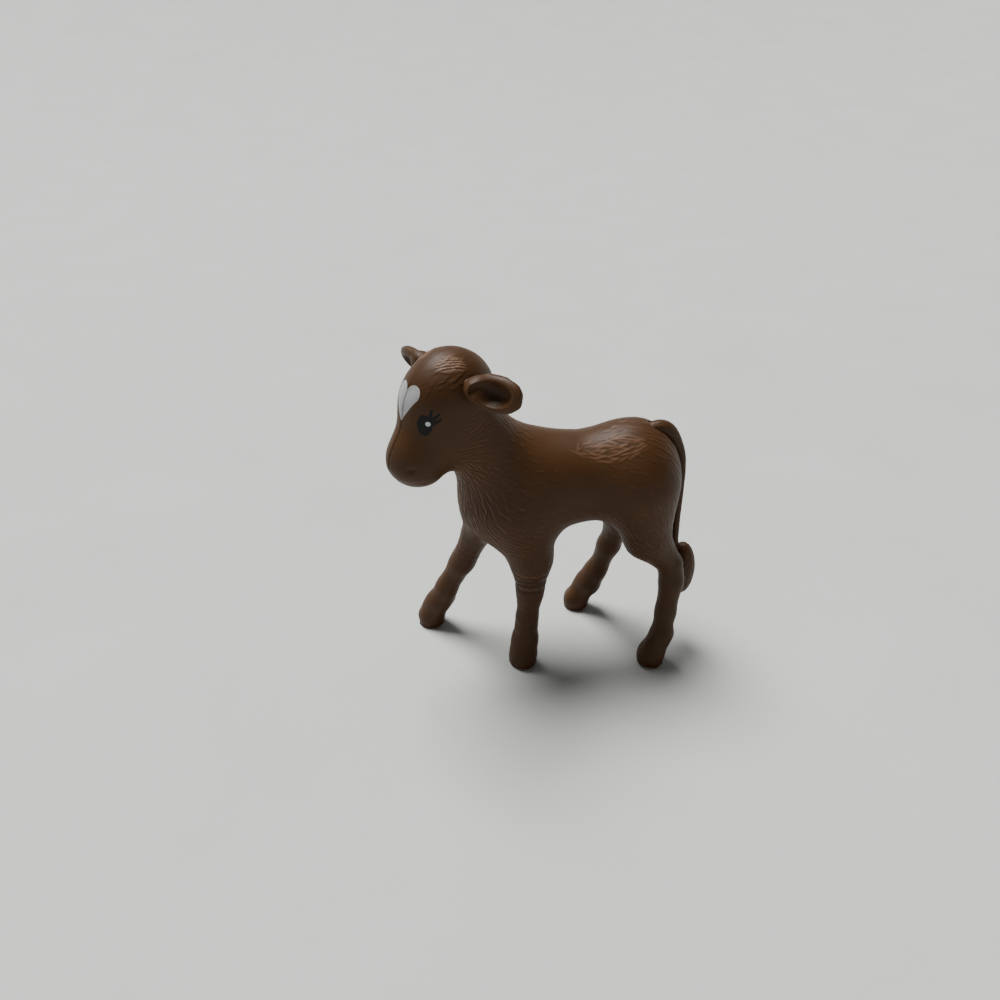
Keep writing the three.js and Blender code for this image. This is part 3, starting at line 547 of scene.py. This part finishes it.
def half_skin(side, name):
    bpy.ops.object.select_all(action="DESELECT")
    steps = {"x_subdivisions": CUT_STEPS[0], "y_subdivisions": CUT_STEPS[1]}
    bpy.ops.mesh.primitive_grid_add(size=2, **steps)
    block = bpy.context.object
    grid = places(block)
    x = grid[:, 0] * CUT_HALF
    z = CUT_MIDDLE_UP + grid[:, 1] * CUT_HALF
    move_to(block, np.stack([x, parting_y(x, z), z], 1))
    bpy.ops.object.mode_set(mode="EDIT")
    bpy.ops.mesh.select_all(action="SELECT")
    bpy.ops.mesh.extrude_region_move(TRANSFORM_OT_translate={"value": (0, side * CUT_REACH, 0)})
    bpy.ops.mesh.select_all(action="SELECT")
    bpy.ops.mesh.normals_make_consistent(inside=False)
    bpy.ops.object.mode_set(mode="OBJECT")
    half = skin.copy()
    half.data = skin.data.copy()
    half.name = half.data.name = name
    bpy.context.collection.objects.link(half)
    cut = half.modifiers.new("cut", "BOOLEAN")
    cut.operation = "INTERSECT"
    cut.solver = "MANIFOLD"
    cut.object = block
    only(half)
    bpy.ops.object.modifier_apply(modifier=cut.name)
    bpy.data.objects.remove(block)
    return half


def give_values(obj, name, values):
    layer = obj.data.attributes.new(name, "FLOAT", "POINT")
    layer.data.foreach_set("value", values.astype(np.float32))


nearest = KDTree(len(points))
for i, p in enumerate(places(skin)):
    nearest.insert(p, i)
nearest.balance()
left_half = half_skin(-1, "left_half")
right_half = half_skin(1, "right_half")
for half in (left_half, right_half):
    at = places(half)
    source = [nearest.find(p)[1] for p in at]
    give_values(half, "relief", relief[source])
    give_values(half, "seam", seam_strength(at, on_head(at), SEAM_TINT_HALF_WIDTH))
bpy.data.objects.remove(skin)


# Linear colour from an sRGB hex value.
def colour(hexadecimal):
    parts = [int(hexadecimal[i : i + 2], 16) / 255 for i in (0, 2, 4)]
    return (*[c / 12.92 if c <= 0.04045 else ((c + 0.055) / 1.055) ** 2.4 for c in parts], 1)


# Adds a node, gives it settings, and fills its inputs with numbers or links.
def add(tree, kind, inputs=None, **settings):
    node = tree.nodes.new(kind)
    for key, value in settings.items():
        setattr(node, key, value)
    for key, value in (inputs or {}).items():
        if isinstance(value, bpy.types.NodeSocket):
            tree.links.new(value, node.inputs[key])
        else:
            node.inputs[key].default_value = value
    return node


# Satin brown PVC, injection moulded: a waxy sheen, with painted shade darkening the cut hair grooves
# and a painted highlight lightening the lips of the strokes. The mould's grit is finer than a tenth
# of a millimetre, and is drawn at a third of one so that it shows.
BROWN = "3d2611"
# Painted shade in the hair grooves and a painted highlight on the strokes' lips. The same dark brown
# paints shade in the ears' bowls and darkens the glue line.
SHADE_AND_SEAM_BROWN = "1c0e06"
LIP_HIGHLIGHT_BROWN = "5e412c"
GROOVE_SHADE_TINT = {"From Min": -0.02, "From Max": -0.12, "To Max": 0.55}
LIP_HIGHLIGHT_TINT = {"From Min": 0.012, "From Max": 0.075, "To Max": 0.75}
MOTTLE_MM = 9
MOTTLE_TONE = {"From Min": 0.3, "From Max": 0.7, "To Min": 0.9, "To Max": 1.1}
SATIN = {"From Min": 0.3, "From Max": 0.7, "To Min": 0.44, "To Max": 0.54}
GRIT_MM = 0.35
GRIT_BUMP = {"Strength": 0.12, "Distance": 0.05 * MM}
PVC_SPECULAR = 0.17


def moulded_pvc(name):
    material = bpy.data.materials.new(name)
    material.use_nodes = True
    tree = material.node_tree
    tree.nodes.clear()
    place = add(tree, "ShaderNodeTexCoord").outputs["Object"]
    clouds = {"Vector": place, "Scale": 1 / (MOTTLE_MM * MM), "Detail": 3}
    mottle = add(tree, "ShaderNodeTexNoise", clouds).outputs["Fac"]
    specks = {"Vector": place, "Scale": 1 / (GRIT_MM * MM), "Detail": 2}
    grit = add(tree, "ShaderNodeTexNoise", specks).outputs["Fac"]
    height = add(tree, "ShaderNodeAttribute", attribute_name="relief").outputs["Fac"]
    # Painted shade in the grooves and a painted highlight on the lips, both read from the relief.
    depth = add(tree, "ShaderNodeMapRange", {"Value": height, **GROOVE_SHADE_TINT}).outputs[0]
    lip_highlight = add(tree, "ShaderNodeMapRange", {"Value": height, **LIP_HIGHLIGHT_TINT}).outputs[0]
    # Painted shade in the ears' bowls.
    bowl_shade_share = add(tree, "ShaderNodeAttribute", attribute_name="painted_bowl_shade").outputs["Fac"]
    base = colour(BROWN)
    for share, shade in ((lip_highlight, LIP_HIGHLIGHT_BROWN), (depth, SHADE_AND_SEAM_BROWN), (bowl_shade_share, SHADE_AND_SEAM_BROWN)):
        layer = {"Factor": share, "A": base, "B": colour(shade)}
        base = add(tree, "ShaderNodeMix", layer, data_type="RGBA").outputs["Result"]
    uneven = add(tree, "ShaderNodeMapRange", {"Value": mottle, **MOTTLE_TONE}).outputs[0]
    tone = {"Color": base, "Value": uneven}
    base = add(tree, "ShaderNodeHueSaturation", tone).outputs["Color"]
    rough = add(tree, "ShaderNodeMapRange", {"Value": mottle, **SATIN}).outputs[0]
    bumps = add(tree, "ShaderNodeBump", {"Height": grit, **GRIT_BUMP}).outputs["Normal"]
    finish = {"Base Color": base, "Roughness": rough, "Normal": bumps}
    finish["Specular IOR Level"] = PVC_SPECULAR
    surface = add(tree, "ShaderNodeBsdfPrincipled", finish)
    add(tree, "ShaderNodeOutputMaterial", {"Surface": surface.outputs[0]})
    return material, place, base, rough, bumps, surface


# The face is pad printed over the same plastic: a greyish white heart that is a little worn, and
# black eyes with one white light and three black lashes each. The ink is glossier.
HEART_WHITE = "949595"
INK_BLACK = "040303"
LIGHT_WHITE = "b4babc"
HEART_MIDDLE = -0.1
HEART_LOBE = (0, 1.42, 2.6)
HEART_TIP = (0, 0, -2.0)
HEART_WIDE = 1.55
HEART_NARROW = 0.12
HEART_AHEAD = 3.0
HEART_WEAR_MM = 1.2
HEART_WEAR = {"From Min": 0.32, "From Max": 0.5, "To Min": 0.78, "To Max": 0.95}
EYE = np.array([8.3, 4.38, -2.06])
EYE_BACK = np.array([-0.712, 0.702, 0])
EYE_HALF = (1.38, 1.93)
EYE_LIGHT = ((0.56, 0.29, 0), (0.61, 0.29, 0))
EYE_LIGHT_RADIUS = 0.43
LASH_WIDE = 0.42
LASH_NARROW = 0.24
LASHES = [
    ((0.9, 1.2, 0), (1.32, 2.7, 0)),
    ((0.95, 0.7, 0), (2.55, 2.05, 0)),
    ((1.1, 0.1, 0), (2.8, 1.1, 0)),
]
INK_EDGE = 0.03
INK_ROUGHNESS = 0.3

pvc, place, base, rough, bumps, surface = moulded_pvc("moulded_brown_pvc_printed")
tree = pvc.node_tree
from_skull = {0: place, 1: SKULL * MM}
from_skull = add(tree, "ShaderNodeVectorMath", from_skull, operation="SUBTRACT").outputs[0]
ways = [{0: from_skull, 1: way / MM} for way in (AHEAD, LEFT, UP)]
ways = [add(tree, "ShaderNodeVectorMath", way, operation="DOT_PRODUCT") for way in ways]
ahead, left, up = [way.outputs["Value"] for way in ways]
out = add(tree, "ShaderNodeMath", {0: left}, operation="ABSOLUTE").outputs[0]
aside = add(tree, "ShaderNodeMath", {0: left, 1: HEART_MIDDLE}, operation="SUBTRACT").outputs[0]
aside = add(tree, "ShaderNodeMath", {0: aside}, operation="ABSOLUTE").outputs[0]
in_front = {0: ahead, 1: HEART_AHEAD}
in_front = add(tree, "ShaderNodeMath", in_front, operation="GREATER_THAN").outputs[0]


# How much ink lies at a place: one inside a stroke that tapers from a to b, none outside it.
def inked(at, a, b, wide, narrow):
    span = np.array(b, float) - np.array(a, float)
    q = add(tree, "ShaderNodeVectorMath", {0: at, 1: a}, operation="SUBTRACT").outputs[0]
    t = {0: q, 1: span / (span @ span)}
    t = add(tree, "ShaderNodeVectorMath", t, operation="DOT_PRODUCT").outputs["Value"]
    t = add(tree, "ShaderNodeMath", {0: t, 1: 1.0}, operation="MULTIPLY", use_clamp=True).outputs[0]
    foot = add(tree, "ShaderNodeVectorMath", {0: span, "Scale": t}, operation="SCALE").outputs[0]
    away = {0: q, 1: foot}
    away = add(tree, "ShaderNodeVectorMath", away, operation="DISTANCE").outputs["Value"]
    radius = {0: t, 1: narrow - wide, 2: wide}
    radius = add(tree, "ShaderNodeMath", radius, operation="MULTIPLY_ADD").outputs[0]
    beyond = add(tree, "ShaderNodeMath", {0: away, 1: radius}, operation="SUBTRACT").outputs[0]
    edge = {"Value": beyond, "From Min": INK_EDGE, "From Max": -INK_EDGE}
    return add(tree, "ShaderNodeMapRange", edge).outputs[0]


# One inside an oval round the middle of a flat view, falling to none from inner to outer.
def oval(flat_view, half, inner, outer):
    reach = {0: flat_view, 1: (1 / half[0], 1 / half[1], 0)}
    reach = add(tree, "ShaderNodeVectorMath", reach, operation="MULTIPLY").outputs[0]
    reach = add(tree, "ShaderNodeVectorMath", {0: reach}, operation="LENGTH").outputs["Value"]
    edge = {"Value": reach, "From Min": outer, "From Max": inner}
    return add(tree, "ShaderNodeMapRange", edge).outputs[0]


front_view = add(tree, "ShaderNodeCombineXYZ", {"Y": aside, "Z": up}).outputs[0]
heart = inked(front_view, HEART_LOBE, HEART_TIP, HEART_WIDE, HEART_NARROW)
worn = {"Vector": place, "Scale": 1 / (HEART_WEAR_MM * MM), "Detail": 4}
worn = add(tree, "ShaderNodeTexNoise", worn).outputs["Fac"]
worn = add(tree, "ShaderNodeMapRange", {"Value": worn, **HEART_WEAR}).outputs[0]
for share in (in_front, worn):
    heart = add(tree, "ShaderNodeMath", {0: heart, 1: share}, operation="MULTIPLY").outputs[0]

side_place = add(tree, "ShaderNodeCombineXYZ", {"X": ahead, "Y": out, "Z": up}).outputs[0]
from_eye = add(tree, "ShaderNodeVectorMath", {0: side_place, 1: EYE}, operation="SUBTRACT").outputs[0]
ways = [{0: from_eye, 1: way} for way in (EYE_BACK, UP)]
ways = [add(tree, "ShaderNodeVectorMath", way, operation="DOT_PRODUCT") for way in ways]
back, rise = [way.outputs["Value"] for way in ways]
eye_view = add(tree, "ShaderNodeCombineXYZ", {"X": back, "Y": rise}).outputs[0]
black = oval(eye_view, EYE_HALF, 1 - INK_EDGE / 2, 1 + INK_EDGE / 2)
for a, b in LASHES:
    black = {0: black, 1: inked(eye_view, a, b, LASH_WIDE, LASH_NARROW)}
    black = add(tree, "ShaderNodeMath", black, operation="MAXIMUM").outputs[0]
light = inked(eye_view, *EYE_LIGHT, EYE_LIGHT_RADIUS, EYE_LIGHT_RADIUS)

# Between the raised hairs beside the crown lie finer ones, half a millimetre apart, and their pale is
# a painted highlight of light catching their ridges.
# They are too fine for the mesh, so a bump carries their shape and the plastic's colour their painted
# highlight. At a scale of one, the wave texture repeats every 0.314.
FINE_HAIR_GLINT_BROWN = "856852"
FINE_HAIR_MIDDLE = (2.0, 3.3, 7.3)
FINE_HAIR_ACROSS = (-0.36, -0.85, 0.38)
FINE_HAIR_HALF = (2.5, 1.75)
FINE_HAIR_FADE = (0.75, 1.1)
FINE_HAIR_ABOVE = 3.0
FINE_HAIR_GLINT_TINT = {"From Min": 0.4, "From Max": 0.95, "To Max": 0.7}
FINE_HAIR_BUMP = {"Strength": 0.8, "Distance": 0.07 * MM}
FINE_HAIR_MM = 0.55
FINE_HAIR_WAVER = {"Distortion": 3.2, "Detail": 2, "Detail Scale": 1.8}
WAVE_TURN = 0.314

from_patch = {0: side_place, 1: FINE_HAIR_MIDDLE}
from_patch = add(tree, "ShaderNodeVectorMath", from_patch, operation="SUBTRACT").outputs[0]
along = add(tree, "ShaderNodeSeparateXYZ", {0: from_patch}).outputs["X"]
across = {0: from_patch, 1: FINE_HAIR_ACROSS}
across = add(tree, "ShaderNodeVectorMath", across, operation="DOT_PRODUCT").outputs["Value"]
patch_view = add(tree, "ShaderNodeCombineXYZ", {"X": along, "Y": across}).outputs[0]
above = add(tree, "ShaderNodeMath", {0: up, 1: FINE_HAIR_ABOVE}, operation="GREATER_THAN").outputs[0]
fine = {"Vector": patch_view, "Scale": WAVE_TURN / FINE_HAIR_MM, **FINE_HAIR_WAVER}
fine = add(tree, "ShaderNodeTexWave", fine, bands_direction="Y").outputs["Fac"]
fine = add(tree, "ShaderNodeMapRange", {"Value": fine, **FINE_HAIR_GLINT_TINT}).outputs[0]
fine_hair_relief_and_glint = oval(patch_view, FINE_HAIR_HALF, *FINE_HAIR_FADE)
for share in (above, fine):
    fine_hair_relief_and_glint = add(tree, "ShaderNodeMath", {0: fine_hair_relief_and_glint, 1: share}, operation="MULTIPLY").outputs[0]
raised = {"Height": fine_hair_relief_and_glint, "Normal": bumps, **FINE_HAIR_BUMP}
tree.links.new(add(tree, "ShaderNodeBump", raised).outputs[0], surface.inputs["Normal"])

# The layers in their order, the glue line's dark last.
SEAM_TINT = 0.5
line = add(tree, "ShaderNodeAttribute", attribute_name="seam").outputs["Fac"]
line = add(tree, "ShaderNodeMapRange", {"Value": line, "To Max": SEAM_TINT}).outputs[0]
inks = [(heart, HEART_WHITE), (black, INK_BLACK), (light, LIGHT_WHITE)]
# The fine hairs' pale is a painted highlight; the glue line's dark is the joint's own.
for share, shade in [(fine_hair_relief_and_glint, FINE_HAIR_GLINT_BROWN), *inks, (line, SHADE_AND_SEAM_BROWN)]:
    layer = {"Factor": share, "A": base, "B": colour(shade)}
    base = add(tree, "ShaderNodeMix", layer, data_type="RGBA").outputs["Result"]
for share, _ in inks:
    gloss = {"Factor": share, "A": rough, "B": INK_ROUGHNESS}
    rough = add(tree, "ShaderNodeMix", gloss, data_type="FLOAT").outputs["Result"]
tree.links.new(base, surface.inputs["Base Color"])
tree.links.new(rough, surface.inputs["Roughness"])


# Brings a piece back to metres, gives it its plastic and lets it stand for its solid.
CREASE = math.radians(75)


def hand_over(obj, node, material):
    obj.data.transform(Matrix.Scale(MM, 4))
    obj.data.materials.clear()
    obj.data.materials.append(material)
    only(obj)
    bpy.ops.object.shade_smooth_by_angle(angle=CREASE)
    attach(obj, "root")
    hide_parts(node)


hand_over(left_half, "left_shell", pvc)
hand_over(right_half, "right_shell", pvc)


# The ears: two small oval cups of the same PVC, moulded apart and plugged into the skull.
# The cup is deep, with a thick round rim, and its bottom is darkened with painted shade.
EAR_VOXEL = 0.15
EAR_SMOOTHING = 22
EAR_ROOT = (0.65, 7.0, 3.85)
EAR_TURNS = {1: (20, 2, 14), -1: (13, -15, -30)}
CUP_MIDDLE = (6.2, -0.4)
CUP_HALF = (2.9, 2.5)
CUP_DEEPER = 0.5
CUP_LOBE = (2.5, -0.8)
LOBE_HALF = (1.6, 1.6)
LOBE_RISE = 0.85
# Painted shade in the ear's bowl: its middle, its half size and its strength.
BOWL_SHADE_MIDDLE = (5.0, -0.2)
BOWL_SHADE_HALF = (2.0, 1.6)
BOWL_SHADE = 0.75
FACE_TURNED = (-0.1, 0.3)
FACE_BEHIND = (-0.6, -0.2)
plain_pvc = moulded_pvc("moulded_brown_pvc")[0]


def small_skin(node, name, voxel, rounds):
    small = outer_skin(merged_copy(node, name), voxel)
    small.name = small.data.name = name
    move_to(small, smooth_skin(small, rounds)[1])
    return small


# Moves the points and keeps them inside the solid's own box.
def settle(obj, node, points):
    node_low, node_high = [np.array(c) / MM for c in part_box(node)]
    move_to(obj, np.clip(points, node_low, node_high))


def off_middle(along, across, middle, half):
    return ((along - middle[0]) / half[0]) ** 2 + ((across - middle[1]) / half[1]) ** 2


# Gives the way the ear opens, how far its face moves that way, and where the painted shade in the
# bowl lies.
def in_cup(at, outward, side):
    sweep, lift, roll = [math.radians(a) for a in EAR_TURNS[side]]
    root = SKULL + EAR_ROOT[0] * AHEAD + side * EAR_ROOT[1] * LEFT + EAR_ROOT[2] * UP
    out = side * LEFT - AHEAD * math.tan(sweep)
    out = out / np.linalg.norm(out) + UP * math.tan(lift)
    out /= np.linalg.norm(out)
    opening = AHEAD + UP * math.tan(roll)
    opening -= out * (opening @ out)
    opening /= np.linalg.norm(opening)
    over = np.cross(opening, out) * side
    q = at - root
    along, across = q @ out, q @ over
    facing = ramp(outward @ opening, *FACE_TURNED) * ramp(q @ opening, *FACE_BEHIND)
    cup = off_middle(along, across, CUP_MIDDLE, CUP_HALF)
    lobe = off_middle(along, across, CUP_LOBE, LOBE_HALF)
    moved = LOBE_RISE * np.exp(-lobe) - CUP_DEEPER * np.clip(1 - cup, 0, 1)
    bowl_shade = BOWL_SHADE * np.exp(-off_middle(along, across, BOWL_SHADE_MIDDLE, BOWL_SHADE_HALF))
    return opening, moved * facing, bowl_shade * facing


for side, node in ((1, "left_ear"), (-1, "right_ear")):
    ear = small_skin(node, node + "_cup", EAR_VOXEL, EAR_SMOOTHING)
    at = places(ear)
    opening, moved, bowl_shade = in_cup(at, normals(ear), side)
    settle(ear, node, at + moved[:, None] * opening)
    # The bowl's painted shade, kept on the ear's points.
    give_values(ear, "painted_bowl_shade", bowl_shade)
    hand_over(ear, node, plain_pvc)


# The tail: one solid moulding, a smooth thin switch that ends in a rounded tuft of hair.
# Its collar is trapped between the halves inside the rump.
TAIL_VOXEL = 0.18
TAIL_SMOOTHING = 14
TUFT_HAIR = (0.06, 0.9, 4.5)
TUFT_TOP = 26
SWITCH_SHARE = 0.2
TAIL_SEED = 5
TUFT_TRIES = 3000

tail = small_skin("tail", "tail_switch", TAIL_VOXEL, TAIL_SMOOTHING)
at = places(tail)
outward = normals(tail)
hair = np.tile(np.array([0, 0, -1, *TUFT_HAIR]), (len(at), 1))
hair[at[:, 2] >= TUFT_TOP, 3] *= SWITCH_SHARE
lifted = comb(at, outward, hair, TAIL_SEED, TUFT_TRIES)
settle(tail, "tail", at + outward * lifted[:, None])
give_values(tail, "relief", lifted)
hand_over(tail, "tail", plain_pvc)


# The table: a plain sheet of pale matt paper with a faint mottle, in metres. It lies flat under
# the figure and rises far off on all sides.
FLOOR_HALF = 2.4
FLOOR_STEPS = 120
FLOOR_FLAT = 0.5
FLOOR_RISE = 0.16
FLOOR_WHITE = "b3b4b1"
PAPER_CLOUDS_MM = 45.5
PAPER_TONE = {"From Min": 0.3, "From Max": 0.7, "To Min": 0.97, "To Max": 1.03}
PAPER_ROUGHNESS = 0.75

bpy.ops.object.select_all(action="DESELECT")
steps = {"x_subdivisions": FLOOR_STEPS, "y_subdivisions": FLOOR_STEPS}
bpy.ops.mesh.primitive_grid_add(size=2 * FLOOR_HALF, **steps)
floor = bpy.context.object
floor.name = "floor"
sheet_points = places(floor)
beyond = np.clip(np.hypot(sheet_points[:, 0], sheet_points[:, 1]) - FLOOR_FLAT, 0, None)
sheet_points[:, 2] = FLOOR_RISE * beyond**2
move_to(floor, sheet_points)
bpy.ops.object.shade_smooth()
paper = bpy.data.materials.new("pale_paper")
paper.use_nodes = True
tree = paper.node_tree
tree.nodes.clear()
place = add(tree, "ShaderNodeTexCoord").outputs["Object"]
clouds = {"Vector": place, "Scale": 1 / (PAPER_CLOUDS_MM * MM), "Detail": 4}
cloud = add(tree, "ShaderNodeTexNoise", clouds).outputs["Fac"]
cloud = add(tree, "ShaderNodeMapRange", {"Value": cloud, **PAPER_TONE}).outputs[0]
pale = {"Color": colour(FLOOR_WHITE), "Value": cloud}
pale = add(tree, "ShaderNodeHueSaturation", pale).outputs["Color"]
sheet = add(tree, "ShaderNodeBsdfPrincipled", {"Base Color": pale, "Roughness": PAPER_ROUGHNESS})
add(tree, "ShaderNodeOutputMaterial", {"Surface": sheet.outputs[0]})
floor.data.materials.append(paper)


# The light: soft broad daylight from above and a little behind the figure, and a pale room that is
# brighter behind it than in front of it.
DAYLIGHT_FROM = (-0.2, 0.28, 0.83)
DAYLIGHT_SPREAD = math.radians(30)
DAYLIGHT_POWER = 6.9
WALL_WHITE = "d6dadb"
ROOM_TURN = (-0.3, 0.8)
ROOM_FRONT = 0.035
ROOM_BACK = 0.5

daylight = bpy.data.lights.new("daylight", "SUN")
daylight.angle = DAYLIGHT_SPREAD
daylight.energy = DAYLIGHT_POWER
sky = bpy.data.objects.new("daylight", daylight)
bpy.context.collection.objects.link(sky)
sky.rotation_euler = Vector(DAYLIGHT_FROM).to_track_quat("Z", "Y").to_euler()
room = bpy.data.worlds.new("room")
bpy.context.scene.world = room
room.use_nodes = True
tree = room.node_tree
tree.nodes.clear()
towards = add(tree, "ShaderNodeTexCoord").outputs["Generated"]
behind = add(tree, "ShaderNodeSeparateXYZ", {"Vector": towards}).outputs["Y"]
turn = {"Value": behind, "From Min": ROOM_TURN[0], "From Max": ROOM_TURN[1]}
turn.update({"To Min": ROOM_FRONT, "To Max": ROOM_BACK})
glow = add(tree, "ShaderNodeMapRange", turn).outputs[0]
wall = add(tree, "ShaderNodeBackground", {"Color": colour(WALL_WHITE), "Strength": glow})
add(tree, "ShaderNodeOutputWorld", {"Surface": wall.outputs[0]})
